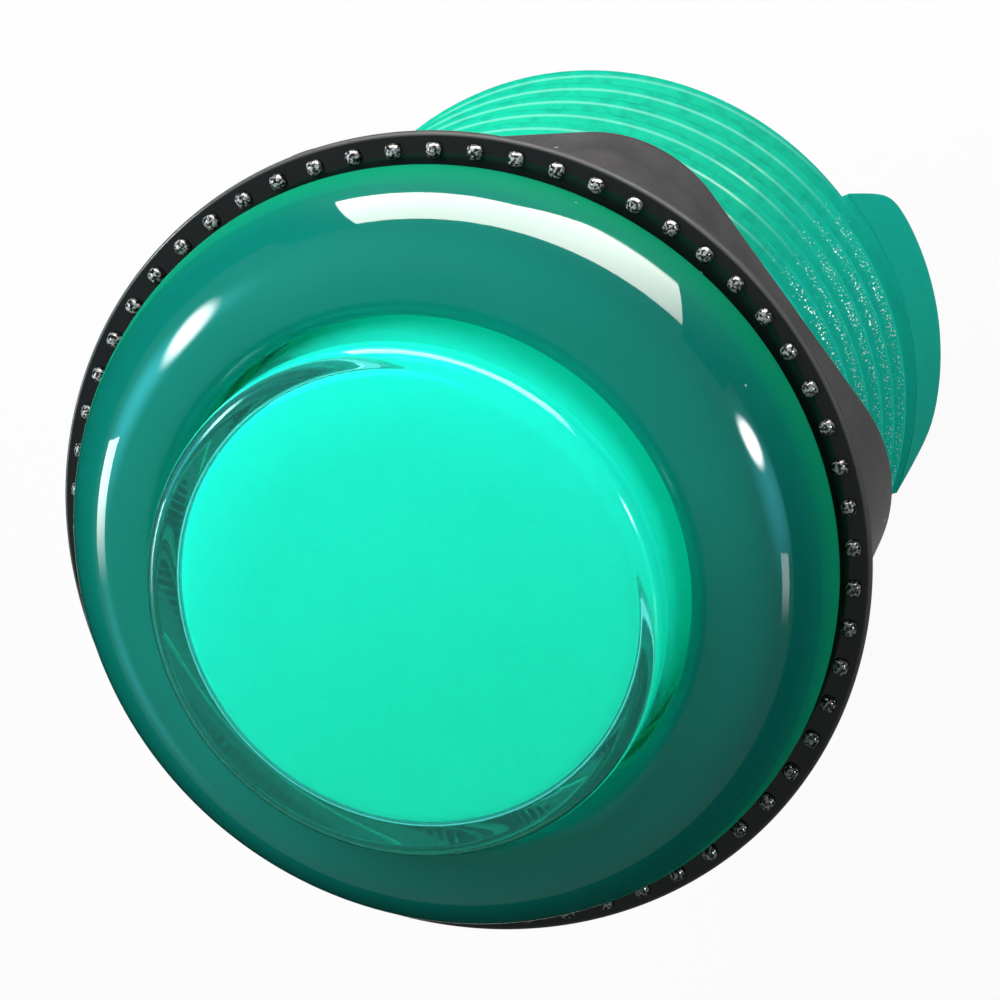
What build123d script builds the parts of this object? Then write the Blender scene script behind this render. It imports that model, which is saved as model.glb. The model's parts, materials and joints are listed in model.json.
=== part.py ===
from build123d import *

import os
from math import hypot, sqrt

os.makedirs("parts", exist_ok=True)

# All sizes are in millimetres. The button's axis is Z, with the plunger facing +Z.
# Z = 0 is the back of the bezel, the face that sits on the panel. The rear ears are on X.

# Fits and running gaps
press_gap = 0.05
seat_gap = 0.2
guide_clearance = 0.4
stop_gap = 0.3
button_clearance = 0.1

# Threaded barrel and domed bezel, one clear moulding
thread_d = 27.8
thread_depth = 0.6
thread_pitch = 2.2
thread_groove_w = 1.6
thread_overcut = 0.2
thread_runout = 1.6
lead_in = 0.5
barrel_wall = 1.4
barrel_length = 25.3
rim_overhang = 2.6
rim_edge = 0.4
bezel_height = 5.3
lip_r = 0.9
shoulder_step = 0.6
shoulder_depth = 2.7

# Rear ears, which carry on the barrel's wall
ear_length = 5.1
ear_root_w = 14.2
ear_tip_w = 9.2
ear_corner_r = 2.2
ear_groove_depth = 0.8
ear_groove_h = 1.9
ear_groove_from_tip = 1.3

# Plunger: clear cap, white diffuser and carrier
plunger_clearance = 0.3
plunger_proud = 3.3
plunger_travel = 3.0
cap_wall = 1.0
cap_top_t = 1.8
cap_edge_r = 0.7
cap_inner_edge = 0.5
diffuser_wall = 0.9
diffuser_top_t = 1.0
diffuser_edge = 0.6
carrier_t = 1.4
spigot_h = 2.0
spigot_wall = 1.0
collar_depth = 1.5
collar_wall = 0.8
leg_w = 4.0
leg_t = 2.0
leg_edge_r = 0.4

# Return spring
spring_wire = 0.6
spring_turns = 4.5
spring_length = 12.1

# Lamp: wedge base, folded leads, clear lens and two contact blades
base_w = 3.8
base_t = 2.4
base_h = 7.0
lead_w = 0.5
lead_spread = 0.8
lead_drop = 0.9
lead_fold_r = 0.6
lead_fold_h = 4.0
lens_d = 5.0
lens_flange_d = 5.8
lens_flange_t = 1.0
lens_h = 6.0
contact_t = 0.5
contact_w = 2.8
contact_grip = 5.0
contact_tail = 9.0
contact_hole_d = 1.3
contact_tip_chamfer = 0.7

# Lamp holder, which closes the barrel's rear
plate_t = 2.2
plate_insert = 0.8
tube_wall = 1.2
tube_drop = 0.6
boss_ledge = 0.2
stop_lug_w = 10.0
stop_lug_overlap = 1.5
stop_lug_gap = 0.1
skirt_w = 6.0
skirt_t = 1.3
barb_w = 4.4
barb_bite = 0.9
barb_land = 0.5
bracket_t = 1.4
bracket_w = 18.0
bracket_corner_r = 2.0
peg_d = 2.2

# Snap-action switch
switch_x = -1.5
switch_w = 19.8
switch_h = 10.2
switch_t = 6.4
switch_wall = 1.0
switch_edge_r = 0.5
hole_d = 2.4
hole_spacing = 9.5
hole_boss_wall = 0.9
button_offset = -2.0
button_w = 2.8
button_t = 2.0
button_rise = 1.3
button_travel = 1.2
button_flange = 0.5
button_flange_t = 1.6
button_tip_r = 0.6
terminal_t = 0.5
terminal_w = 2.8
terminal_tail = 6.4
terminal_hole_d = 1.4
terminal_tip_chamfer = 0.7
terminal_inset = 1.5
common_tab = 2.4
open_offset = 1.5
blade_t = 0.2
blade_w = 2.4
blade_slot_w = 0.9
contact_gap = 0.7
rivet_d = 1.8
rivet_h = 0.4
rivet_inset = 3.1
closed_gap = 0.05

# Hex nut with a round, studded flange
thread_clearance = 0.15
nut_wall = 1.45
nut_height = 7.2
nut_corner_r = 6.0
nut_rear_chamfer = 0.3
nut_turn = -2.5
flange_overhang = 1.1
flange_t = 0.4
flange_edge = 0.15
skirt_height = 5.0
skirt_dip = 0.3
flange_gap = 0.7
stud_count = 60
stud_inset = 0.7
stud_w = 0.8
stud_h = 0.45
stud_taper = 25

# Radii and heights that follow from the sizes above
thread_r = thread_d / 2
root_r = thread_r - thread_depth
bore_r = root_r - barrel_wall
opening_r = bore_r - shoulder_step
rim_r = thread_r + rim_overhang
crest_r = opening_r + lip_r
barrel_end = -barrel_length
ear_tip = barrel_end - ear_length

cap_r = opening_r - plunger_clearance
cap_bore_r = cap_r - cap_wall
diffuser_r = cap_bore_r - press_gap
diffuser_bore_r = diffuser_r - diffuser_wall
spigot_r = diffuser_bore_r - press_gap
carrier_r = bore_r - plunger_clearance
carrier_top = -shoulder_depth - stop_gap
carrier_bottom = carrier_top - carrier_t
plunger_top = bezel_height + plunger_proud
diffuser_top = plunger_top - cap_top_t - press_gap

contact_in = base_w / 2 + lead_w + press_gap
contact_mid = contact_in + contact_t / 2
tube_bore_r = hypot(contact_in + contact_t, contact_w / 2) + seat_gap
tube_r = tube_bore_r + tube_wall
spring_r = tube_r + guide_clearance + spring_wire / 2
boss_r = spring_r + spring_wire / 2 + boss_ledge
boss_top = carrier_bottom - spring_length
tube_top = carrier_bottom - plunger_travel - tube_drop
plate_r = bore_r - plunger_clearance
plate_top = barrel_end + plate_insert
plate_bottom = plate_top - plate_t

bracket_in = -(contact_w / 2 + guide_clearance)
bracket_out = bracket_in - bracket_t
switch_in = bracket_out - seat_gap
switch_mid = switch_in - switch_t / 2
switch_out = switch_in - switch_t
switch_top = ear_tip - stop_gap
switch_bottom = switch_top - switch_h
cavity_top = switch_top - switch_wall
cavity_bottom = switch_bottom + switch_wall
cavity_half_w = switch_w / 2 - switch_wall
cover_in = switch_out + switch_wall

button_top = switch_top + button_rise
button_flange_top = cavity_top - button_clearance
button_bottom = button_flange_top - button_flange_t
blade_bottom = button_bottom - button_clearance - blade_t
moving_top = blade_bottom + blade_t + rivet_h
moving_bottom = blade_bottom - rivet_h
closed_tab_bottom = moving_top + closed_gap + rivet_h
open_tab_bottom = moving_bottom - contact_gap - rivet_h - terminal_t
terminal_tip = switch_bottom - terminal_tail
button_x = switch_x + button_offset
common_x = switch_x - switch_w / 2 + terminal_inset
open_x = switch_x + open_offset
closed_x = switch_x + switch_w / 2 - terminal_inset
rivet_x = switch_x + switch_w / 2 - rivet_inset
hole_boss_r = hole_d / 2 + hole_boss_wall
hole_z = open_tab_bottom - seat_gap - hole_boss_r

leg_in = -(boss_r + guide_clearance)
leg_out = leg_in - leg_t
leg_bottom = button_top - button_travel + button_clearance + plunger_travel

# Clear body: bezel, threaded barrel and ears in one piece
with BuildPart() as ears:
    with BuildSketch(Plane.XY.offset(barrel_end)):
        Circle(thread_r)
        Circle(bore_r, mode=Mode.SUBTRACT)
    extrude(amount=-ear_length)
    with BuildSketch(Plane.YZ):
        with BuildLine():
            Polyline(
                (-ear_root_w / 2, barrel_end),
                (ear_root_w / 2, barrel_end),
                (ear_tip_w / 2, ear_tip),
                (-ear_tip_w / 2, ear_tip),
                close=True,
            )
        ear_face = make_face()
        fillet(ear_face.vertices().group_by(Axis.Z)[0], ear_corner_r)
    extrude(amount=thread_r, both=True, mode=Mode.INTERSECT)
    with Locations((0, 0, ear_tip + ear_groove_from_tip)):
        Cylinder(
            bore_r + ear_groove_depth,
            ear_groove_h,
            align=(Align.CENTER, Align.CENTER, Align.MIN),
            mode=Mode.SUBTRACT,
        )

with BuildPart() as body:
    with BuildSketch(Plane.XZ):
        with BuildLine():
            Polyline(
                (crest_r - lip_r, bezel_height - lip_r),
                (opening_r, -shoulder_depth),
                (bore_r, -shoulder_depth),
                (bore_r, barrel_end),
                (thread_r - lead_in, barrel_end),
                (thread_r, barrel_end + lead_in),
                (thread_r, 0),
                (rim_r, 0),
                (rim_r, rim_edge),
            )
            EllipticalCenterArc(
                (crest_r, rim_edge),
                x_radius=rim_r - crest_r,
                y_radius=bezel_height - rim_edge,
                start_angle=0,
                arc_size=90,
            )
            CenterArc((crest_r, bezel_height - lip_r), lip_r, 90, 90)
        make_face()
    revolve(axis=Axis.Z)
    groove_start = barrel_end - thread_pitch / 2
    groove_scale = 1 + thread_overcut / thread_depth
    with BuildLine() as groove_path:
        Helix(thread_pitch, -thread_runout - groove_start, root_r, center=(0, 0, groove_start))
    with BuildSketch(Plane((0, 0, groove_start), x_dir=(1, 0, 0), z_dir=(0, -1, 0))):
        with BuildLine():
            Polyline(
                (root_r, 0),
                (thread_r + thread_overcut, -thread_groove_w / 2 * groove_scale),
                (thread_r + thread_overcut, thread_groove_w / 2 * groove_scale),
                close=True,
            )
        make_face()
    sweep(path=groove_path.line, is_frenet=True, mode=Mode.SUBTRACT)
    add(ears.part)

# Clear plunger cap
with BuildPart() as plunger_cap:
    with BuildSketch(Plane.XY.offset(carrier_top)):
        Circle(cap_r)
    extrude(amount=plunger_top - carrier_top)
    fillet(plunger_cap.faces().sort_by(Axis.Z)[-1].edges(), cap_edge_r)
    with BuildSketch(Plane.XY.offset(carrier_top)):
        Circle(cap_bore_r)
    extrude(amount=plunger_top - cap_top_t - carrier_top, mode=Mode.SUBTRACT)
    chamfer(plunger_cap.edges(Select.LAST).sort_by(Axis.Z)[-1], cap_inner_edge)

# White diffuser cup under the cap
with BuildPart() as diffuser:
    with BuildSketch(Plane.XY.offset(carrier_top)):
        Circle(diffuser_r)
    extrude(amount=diffuser_top - carrier_top)
    chamfer(diffuser.faces().sort_by(Axis.Z)[-1].edges(), diffuser_edge)
    with BuildSketch(Plane.XY.offset(carrier_top)):
        Circle(diffuser_bore_r)
    extrude(amount=diffuser_top - diffuser_top_t - carrier_top, mode=Mode.SUBTRACT)

# Carrier: flange under the shoulder, spigot in the diffuser, spring collar and pusher leg
with BuildPart() as plunger_carrier:
    with BuildSketch(Plane.XY.offset(carrier_bottom)):
        Circle(carrier_r)
    extrude(amount=carrier_t)
    with BuildSketch(Plane.XY.offset(carrier_top)):
        Circle(spigot_r)
        Circle(spigot_r - spigot_wall, mode=Mode.SUBTRACT)
    extrude(amount=spigot_h)
    with BuildSketch(Plane.XY.offset(carrier_bottom)):
        Circle(boss_r + collar_wall)
        Circle(boss_r, mode=Mode.SUBTRACT)
    extrude(amount=-collar_depth)
    with BuildSketch(Plane.XY.offset(carrier_bottom)):
        with Locations((button_x, (leg_in + leg_out) / 2)):
            RectangleRounded(leg_w, leg_t, leg_edge_r)
    extrude(amount=leg_bottom - carrier_bottom)
    with BuildSketch(Plane.XY.offset(carrier_bottom)):
        Circle(tube_r + guide_clearance)
    extrude(amount=carrier_t, mode=Mode.SUBTRACT)

# Return spring between the holder's boss and the carrier
spring_start = boss_top + spring_wire / 2 + press_gap
spring_height = carrier_bottom - boss_top - spring_wire - 2 * press_gap
with BuildPart() as return_spring:
    with BuildLine() as spring_path:
        Helix(spring_height / spring_turns, spring_height, spring_r, center=(0, 0, spring_start))
    with BuildSketch(Plane((spring_r, 0, spring_start), x_dir=(1, 0, 0), z_dir=(0, -1, 0))):
        Rectangle(spring_wire, spring_wire)
    sweep(path=spring_path.line, is_frenet=True)

# Lamp holder: plate, lamp tube, spring boss, snap barbs and switch bracket
with BuildPart() as lamp_holder:
    with BuildSketch(Plane.XY.offset(plate_bottom)):
        Circle(plate_r)
    extrude(amount=plate_t)
    with BuildSketch(Plane.XY.offset(plate_bottom)):
        Circle(bore_r + stop_lug_overlap)
        Rectangle(stop_lug_w, thread_d, mode=Mode.INTERSECT)
    extrude(amount=barrel_end - stop_lug_gap - plate_bottom)
    with BuildSketch(Plane.XY.offset(plate_top)):
        Circle(boss_r)
    extrude(amount=boss_top - plate_top)
    with BuildSketch(Plane.XY.offset(boss_top)):
        Circle(tube_r)
    extrude(amount=tube_top - boss_top)
    with BuildSketch(Plane.XY.offset(plate_top)):
        Circle(tube_bore_r)
    extrude(amount=tube_top - plate_top, mode=Mode.SUBTRACT)
    with BuildSketch(Plane.XY.offset(plate_bottom)):
        Circle(plate_r)
        Circle(plate_r - skirt_t, mode=Mode.SUBTRACT)
        Rectangle(thread_d, skirt_w, mode=Mode.INTERSECT)
    barb_bottom = ear_tip + ear_groove_from_tip + press_gap
    extrude(amount=barb_bottom - barb_land - plate_bottom)
    barb_foot = plate_r - skirt_t / 2
    barb_tip = sqrt((bore_r + ear_groove_depth - press_gap) ** 2 - (barb_w / 2) ** 2)
    with BuildSketch(Plane.XZ):
        with BuildLine():
            Polyline(
                (barb_foot, barb_bottom),
                (barb_tip, barb_bottom),
                (barb_tip, barb_bottom + barb_land),
                (plate_r, barb_bottom + barb_land + barb_bite),
                (barb_foot, barb_bottom + barb_land + barb_bite),
                close=True,
            )
        barb_face = make_face()
        mirror(barb_face, about=Plane.YZ)
    extrude(amount=barb_w / 2, both=True)
    with BuildSketch(Plane.XZ.offset(-bracket_in)):
        with BuildLine():
            Polyline(
                (-bracket_w / 2, plate_bottom),
                (bracket_w / 2, plate_bottom),
                (bracket_w / 2, switch_bottom),
                (-bracket_w / 2, switch_bottom),
                close=True,
            )
        bracket_face = make_face()
        fillet(bracket_face.vertices().group_by(Axis.Z)[0], bracket_corner_r)
    extrude(amount=bracket_t)
    with BuildSketch(Plane.XZ.offset(-bracket_out)):
        with Locations((switch_x, hole_z)):
            with GridLocations(hole_spacing, 0, 2, 1):
                Circle(peg_d / 2)
    extrude(amount=bracket_out - switch_out)
    slot_in = max(leg_in, switch_mid + button_t / 2) + guide_clearance
    slot_out = min(leg_out, switch_mid - button_t / 2) - guide_clearance
    with BuildSketch(Plane.XY.offset(plate_bottom)):
        with Locations((button_x, (slot_in + slot_out) / 2)):
            Rectangle(leg_w + 2 * guide_clearance, slot_in - slot_out)
    extrude(amount=plate_t, mode=Mode.SUBTRACT)
    with BuildSketch(Plane.XY.offset(plate_bottom)):
        with GridLocations(2 * contact_mid, 0, 2, 1):
            Rectangle(contact_t + 2 * press_gap, contact_w + 2 * press_gap)
    extrude(amount=plate_t, mode=Mode.SUBTRACT)

# Lamp: wedge base in the tube, lens on top, leads folded up the base's sides
base_top = tube_top
base_bottom = base_top - base_h
with BuildPart() as lamp_base:
    with BuildSketch(Plane.XY.offset(base_bottom)):
        Rectangle(base_w, base_t)
    extrude(amount=base_h)
    chamfer(lamp_base.edges().group_by(Axis.Z)[0].filter_by(Axis.X), lead_w / 2)

with BuildPart() as lamp_lens:
    with BuildSketch(Plane.XZ):
        with BuildLine():
            Polyline(
                (0, base_top + lens_flange_t + lens_h),
                (0, base_top),
                (lens_flange_d / 2, base_top),
                (lens_flange_d / 2, base_top + lens_flange_t),
                (lens_d / 2, base_top + lens_flange_t),
                (lens_d / 2, base_top + lens_flange_t + lens_h - lens_d / 2),
            )
            CenterArc((0, base_top + lens_flange_t + lens_h - lens_d / 2), lens_d / 2, 0, 90)
        make_face()
    revolve(axis=Axis.Z)

lead_x = base_w / 2 + lead_w / 2
with BuildPart() as lamp_leads:
    with BuildLine(Plane.XZ) as lead_path:
        FilletPolyline(
            (lead_spread, base_bottom),
            (lead_spread, base_bottom - lead_drop),
            (lead_x, base_bottom - lead_drop),
            (lead_x, base_bottom + lead_fold_h),
            radius=lead_fold_r,
        )
    with BuildSketch(Plane.XY.offset(base_bottom)):
        with Locations((lead_spread, 0)):
            Rectangle(lead_w, lead_w)
    sweep(path=lead_path.line)
    mirror(about=Plane.YZ)

# Two contact blades, gripping the leads in the tube and ending in tabs behind the plate
contact_top = base_bottom + contact_grip
for side, name in ((-1, "lamp_contact_left"), (1, "lamp_contact_right")):
    with BuildPart() as lamp_contact:
        with BuildSketch(Plane.YZ.offset(side * contact_mid)):
            with BuildLine():
                Polyline(
                    (-contact_w / 2, contact_top),
                    (contact_w / 2, contact_top),
                    (contact_w / 2, plate_bottom - contact_tail),
                    (-contact_w / 2, plate_bottom - contact_tail),
                    close=True,
                )
            contact_face = make_face()
            chamfer(contact_face.vertices().group_by(Axis.Z)[0], contact_tip_chamfer)
            with Locations((0, plate_bottom - contact_tail + contact_w / 2)):
                Circle(contact_hole_d / 2, mode=Mode.SUBTRACT)
        extrude(amount=contact_t / 2, both=True)
    lamp_contact.part.label = name
    export_step(lamp_contact.part, f"parts/{name}.step")

# Switch terminals: flat strips that leave through the case's floor, each with a tab inside the case
def switch_terminal(x, tab_start, tab_end, tab_bottom):
    with BuildPart() as terminal:
        with BuildSketch(Plane.YZ.offset(x)):
            with BuildLine():
                Polyline(
                    (switch_mid - terminal_w / 2, tab_bottom + terminal_t),
                    (switch_mid + terminal_w / 2, tab_bottom + terminal_t),
                    (switch_mid + terminal_w / 2, terminal_tip),
                    (switch_mid - terminal_w / 2, terminal_tip),
                    close=True,
                )
            strip = make_face()
            chamfer(strip.vertices().group_by(Axis.Z)[0], terminal_tip_chamfer)
            with Locations((switch_mid, terminal_tip + terminal_w / 2)):
                Circle(terminal_hole_d / 2, mode=Mode.SUBTRACT)
        extrude(amount=terminal_t / 2, both=True)
        with BuildSketch(Plane.XY.offset(tab_bottom)):
            with Locations(((tab_start + tab_end) / 2, switch_mid)):
                Rectangle(tab_end - tab_start, terminal_w)
        extrude(amount=terminal_t)
    return terminal


common_start = common_x - terminal_t / 2
common_end = common_start + common_tab
open_start = open_x - terminal_t / 2
closed_end = closed_x + terminal_t / 2
common_terminal = switch_terminal(common_x, common_start, common_end, blade_bottom - terminal_t)
normally_open_terminal = switch_terminal(open_x, open_start, rivet_x + rivet_d / 2, open_tab_bottom)
normally_closed_terminal = switch_terminal(closed_x, rivet_x - rivet_d / 2, closed_end, closed_tab_bottom)

# Contact rivets: fixed pair on the terminals, moving one through the blade
with BuildPart() as fixed_contacts:
    with BuildSketch(Plane.XY.offset(closed_tab_bottom)):
        with Locations((rivet_x, switch_mid)):
            Circle(rivet_d / 2)
    extrude(amount=-rivet_h)
    with BuildSketch(Plane.XY.offset(open_tab_bottom + terminal_t)):
        with Locations((rivet_x, switch_mid)):
            Circle(rivet_d / 2)
    extrude(amount=rivet_h)

with BuildPart() as moving_contact:
    with BuildSketch(Plane.XY.offset(moving_bottom)):
        with Locations((rivet_x, switch_mid)):
            Circle(rivet_d / 2)
    extrude(amount=moving_top - moving_bottom)

# Snap blade: a slotted strip of spring sheet from the common terminal to the moving contact
blade_end = closed_x - terminal_t / 2 - seat_gap
slot_start = common_end + seat_gap
slot_end = rivet_x - rivet_d
with BuildPart() as snap_blade:
    with BuildSketch(Plane.XY.offset(blade_bottom)):
        with Locations(((common_start + blade_end) / 2, switch_mid)):
            Rectangle(blade_end - common_start, blade_w)
        with Locations(((slot_start + slot_end) / 2, switch_mid)):
            SlotOverall(slot_end - slot_start, blade_slot_w, mode=Mode.SUBTRACT)
        with Locations((rivet_x, switch_mid)):
            Circle(rivet_d / 2 + press_gap, mode=Mode.SUBTRACT)
    extrude(amount=blade_t)

# Switch case, open on its outer side, and the cover that closes it
with BuildPart() as switch_case:
    with BuildSketch(Plane.XZ.offset(-switch_in)):
        with Locations((switch_x, (switch_top + switch_bottom) / 2)):
            RectangleRounded(switch_w, switch_h, switch_edge_r)
    extrude(amount=switch_in - cover_in)
    with BuildSketch(Plane.XZ.offset(-cover_in)):
        with Locations((switch_x, (cavity_top + cavity_bottom) / 2)):
            Rectangle(2 * cavity_half_w, cavity_top - cavity_bottom)
    extrude(amount=-(switch_in - switch_wall - cover_in), mode=Mode.SUBTRACT)
    with BuildSketch(Plane.XZ.offset(-switch_in)):
        with Locations((switch_x, hole_z)):
            with GridLocations(hole_spacing, 0, 2, 1):
                Circle(hole_boss_r)
    extrude(amount=switch_in - cover_in)
    with BuildSketch(Plane.XZ.offset(-switch_in)):
        with Locations((switch_x, hole_z)):
            with GridLocations(hole_spacing, 0, 2, 1):
                Circle(hole_d / 2)
    extrude(amount=switch_in - cover_in, mode=Mode.SUBTRACT)
    with BuildSketch(Plane.XY.offset(cavity_top)):
        with Locations((button_x, switch_mid)):
            Rectangle(button_w + 2 * button_clearance, button_t + 2 * button_clearance)
    extrude(amount=switch_wall, mode=Mode.SUBTRACT)
    with BuildSketch(Plane.XY.offset(switch_bottom)):
        with Locations((common_x, switch_mid), (open_x, switch_mid), (closed_x, switch_mid)):
            Rectangle(terminal_t + 2 * press_gap, terminal_w + 2 * press_gap)
    extrude(amount=switch_wall, mode=Mode.SUBTRACT)

with BuildPart() as switch_cover:
    with BuildSketch(Plane.XZ.offset(-cover_in)):
        with Locations((switch_x, (switch_top + switch_bottom) / 2)):
            RectangleRounded(switch_w, switch_h, switch_edge_r)
        with Locations((switch_x, hole_z)):
            with GridLocations(hole_spacing, 0, 2, 1):
                Circle(hole_d / 2, mode=Mode.SUBTRACT)
    extrude(amount=switch_wall)

# Switch button, held in by its flange under the case's roof
with BuildPart() as switch_button:
    with BuildSketch(Plane.XY.offset(button_bottom)):
        with Locations((button_x, switch_mid)):
            Rectangle(button_w + 2 * button_flange, button_t)
    extrude(amount=button_flange_t)
    with BuildSketch(Plane.XY.offset(button_flange_top)):
        with Locations((button_x, switch_mid)):
            Rectangle(button_w, button_t)
    extrude(amount=button_top - button_flange_top)
    fillet(switch_button.edges().group_by(Axis.Z)[-1].filter_by(Axis.Y), button_tip_r)

# Hex nut: thin round studded flange towards the panel, and a conical skirt that blends it into the flats
nut_bore_r = thread_r + thread_clearance
nut_flat_r = nut_bore_r + nut_wall
nut_front = -flange_gap
nut_flange_r = rim_r + flange_overhang
with BuildPart() as mounting_nut:
    with BuildSketch(Plane.XY.offset(nut_front)):
        Circle(nut_flange_r)
    extrude(amount=-flange_t)
    chamfer(mounting_nut.edges().group_by(Axis.Z)[-1], flange_edge)
    with BuildSketch(Plane.XY.offset(nut_front - flange_t)):
        hexagon = RegularPolygon(nut_flat_r, 6, major_radius=False, rotation=nut_turn)
        fillet(hexagon.vertices(), nut_corner_r)
    extrude(amount=flange_t - nut_height)
    chamfer(mounting_nut.faces().sort_by(Axis.Z)[0].edges(), nut_rear_chamfer)
    with Locations((0, 0, nut_front - flange_t)):
        Cone(nut_flat_r - skirt_dip, nut_flange_r, skirt_height, align=(Align.CENTER, Align.CENTER, Align.MAX))
    with BuildSketch(Plane.XY.offset(nut_front)):
        Circle(nut_bore_r)
    extrude(amount=-nut_height, mode=Mode.SUBTRACT)
    with BuildSketch(Plane.XY.offset(nut_front)):
        with PolarLocations(nut_flange_r - stud_inset, stud_count):
            Rectangle(stud_w, stud_w)
    extrude(amount=stud_h, taper=stud_taper)

pieces = {
    "body": body,
    "plunger_cap": plunger_cap,
    "diffuser": diffuser,
    "plunger_carrier": plunger_carrier,
    "return_spring": return_spring,
    "lamp_holder": lamp_holder,
    "lamp_base": lamp_base,
    "lamp_lens": lamp_lens,
    "lamp_leads": lamp_leads,
    "common_terminal": common_terminal,
    "normally_open_terminal": normally_open_terminal,
    "normally_closed_terminal": normally_closed_terminal,
    "fixed_contacts": fixed_contacts,
    "moving_contact": moving_contact,
    "snap_blade": snap_blade,
    "switch_case": switch_case,
    "switch_cover": switch_cover,
    "switch_button": switch_button,
    "mounting_nut": mounting_nut,
}
for name, piece in pieces.items():
    piece.part.label = name
    export_step(piece.part, f"parts/{name}.step")
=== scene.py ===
import json
from math import cos, hypot, pi, radians, sin, sqrt, tan, tau

import bmesh
import bpy
from mathutils import Matrix, Vector


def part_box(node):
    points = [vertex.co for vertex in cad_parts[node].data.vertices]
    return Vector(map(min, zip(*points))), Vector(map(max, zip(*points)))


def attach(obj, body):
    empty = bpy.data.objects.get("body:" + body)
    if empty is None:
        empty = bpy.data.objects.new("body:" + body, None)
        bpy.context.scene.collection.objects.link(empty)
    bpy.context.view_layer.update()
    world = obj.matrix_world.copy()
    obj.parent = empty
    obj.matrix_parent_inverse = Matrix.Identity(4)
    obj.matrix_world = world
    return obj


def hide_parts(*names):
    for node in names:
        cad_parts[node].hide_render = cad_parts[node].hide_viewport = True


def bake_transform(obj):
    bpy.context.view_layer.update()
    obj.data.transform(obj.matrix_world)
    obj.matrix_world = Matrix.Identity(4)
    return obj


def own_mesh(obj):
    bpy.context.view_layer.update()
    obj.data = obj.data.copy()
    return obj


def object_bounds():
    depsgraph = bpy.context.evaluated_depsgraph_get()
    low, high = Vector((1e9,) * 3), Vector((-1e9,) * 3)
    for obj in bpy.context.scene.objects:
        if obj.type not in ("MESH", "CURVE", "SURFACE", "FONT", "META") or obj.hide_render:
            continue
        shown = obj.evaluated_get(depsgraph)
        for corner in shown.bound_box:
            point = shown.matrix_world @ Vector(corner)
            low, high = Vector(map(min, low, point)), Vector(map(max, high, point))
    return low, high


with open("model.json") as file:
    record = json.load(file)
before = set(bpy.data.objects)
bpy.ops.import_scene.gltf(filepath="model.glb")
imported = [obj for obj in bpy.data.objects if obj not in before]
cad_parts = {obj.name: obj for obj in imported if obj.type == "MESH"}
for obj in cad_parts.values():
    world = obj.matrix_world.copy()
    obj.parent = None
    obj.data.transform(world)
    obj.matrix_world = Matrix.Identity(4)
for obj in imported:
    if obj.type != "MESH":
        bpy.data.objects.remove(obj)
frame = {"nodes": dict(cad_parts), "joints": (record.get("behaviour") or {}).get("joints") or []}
cad_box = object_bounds()

# Body: the domed bezel, the threaded barrel and the two rear ears are one injection moulding in clear
# green polycarbonate. The bezel is polished; the barrel keeps a fine grain, frosted on the ears' sides.
# Its coarse thread is a V groove, rounded at root and crest, that runs out under the bezel.
mm = 0.001
body_low, body_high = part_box("body")
rim_r = body_high.x
bezel_top = body_high.z
ear_tip = body_low.z
thread_r = 13.9 * mm
thread_depth = 0.6 * mm
thread_pitch = 2.2 * mm
thread_turns = 12
groove_w = 1.6 * mm
groove_offsets = (1.1, 0.92, 0.8, 0.7, 0.45, 0.13, 0, -0.13, -0.45, -0.7, -0.8, -0.92)
root_round = 0.13 * mm
crest_round = 0.13
runout_top = -0.9 * mm
runout_end = -2.4 * mm
lead_in = 0.5 * mm
ear_length = 5.1 * mm
barrel_end = ear_tip + ear_length
groove_start = barrel_end - thread_pitch / 2
ear_root_w = 14.2 * mm
ear_tip_w = 11.4 * mm
ear_corner = 2.0 * mm
ear_groove_depth = 0.8 * mm
ear_groove_h = 1.9 * mm
ear_groove_low = ear_tip + 1.3 * mm
ear_groove_high = ear_groove_low + ear_groove_h
barrel_wall = 1.4 * mm
bore_r = thread_r - thread_depth - barrel_wall
shoulder_w = 0.6 * mm
opening_r = bore_r - shoulder_w
lip_r = 0.9 * mm
lip_steps = 8
crest_r = opening_r + lip_r
dome_w = rim_r - crest_r
dome_steps = 36
rim_edge = 0.4 * mm
shoulder_z = -2.7 * mm
moulded_edge = 0.2 * mm
edge_steps = 3
weld = 0.001 * mm


def steps(start, end, count):
    """Count + 1 evenly spaced values from start to end."""
    return [start + (end - start) * k / count for k in range(count + 1)]


def add_skin(bm, columns, capped=False):
    """Adds faces between neighbouring closed loops of points. Capped closes the first and last loop."""
    loops = [[bm.verts.new(point) for point in column] for column in columns]
    for near, far in zip(loops, loops[1:]):
        for k in range(len(near)):
            bm.faces.new((near[k - 1], near[k], far[k], far[k - 1]))
    if capped:
        bm.faces.new(loops[0])
        bm.faces.new(loops[-1])


def make_piece(name, bm, crease=40):
    """Welds a mesh, shades it smooth up to the crease angle, and puts it in the scene."""
    bmesh.ops.remove_doubles(bm, verts=bm.verts, dist=weld)
    bmesh.ops.dissolve_degenerate(bm, edges=bm.edges, dist=weld)
    bmesh.ops.recalc_face_normals(bm, faces=bm.faces)
    mesh = bpy.data.meshes.new(name)
    bm.to_mesh(mesh)
    bm.free()
    mesh.shade_smooth()
    mesh.set_sharp_from_angle(angle=radians(crease))
    piece = bpy.data.objects.new(name, mesh)
    bpy.context.scene.collection.objects.link(piece)
    return piece


def around(angle, radius, z):
    """The point at that angle round the button's axis."""
    return Vector((radius * cos(angle), radius * sin(angle), z))


def thread_radius(angle, z):
    """Radius of the threaded barrel, whose groove climbs one pitch a turn."""
    along = (z - groove_start - thread_pitch * angle / tau) % thread_pitch
    off = hypot(min(along, thread_pitch - along), root_round) - root_round
    slope = 1 - off / (groove_w / 2)
    depth = (slope + hypot(slope, crest_round)) / 2
    fade = min(1, max(0, (runout_top - z) / (runout_top - runout_end)))
    return thread_r - thread_depth * min(depth, 1) * fade


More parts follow.
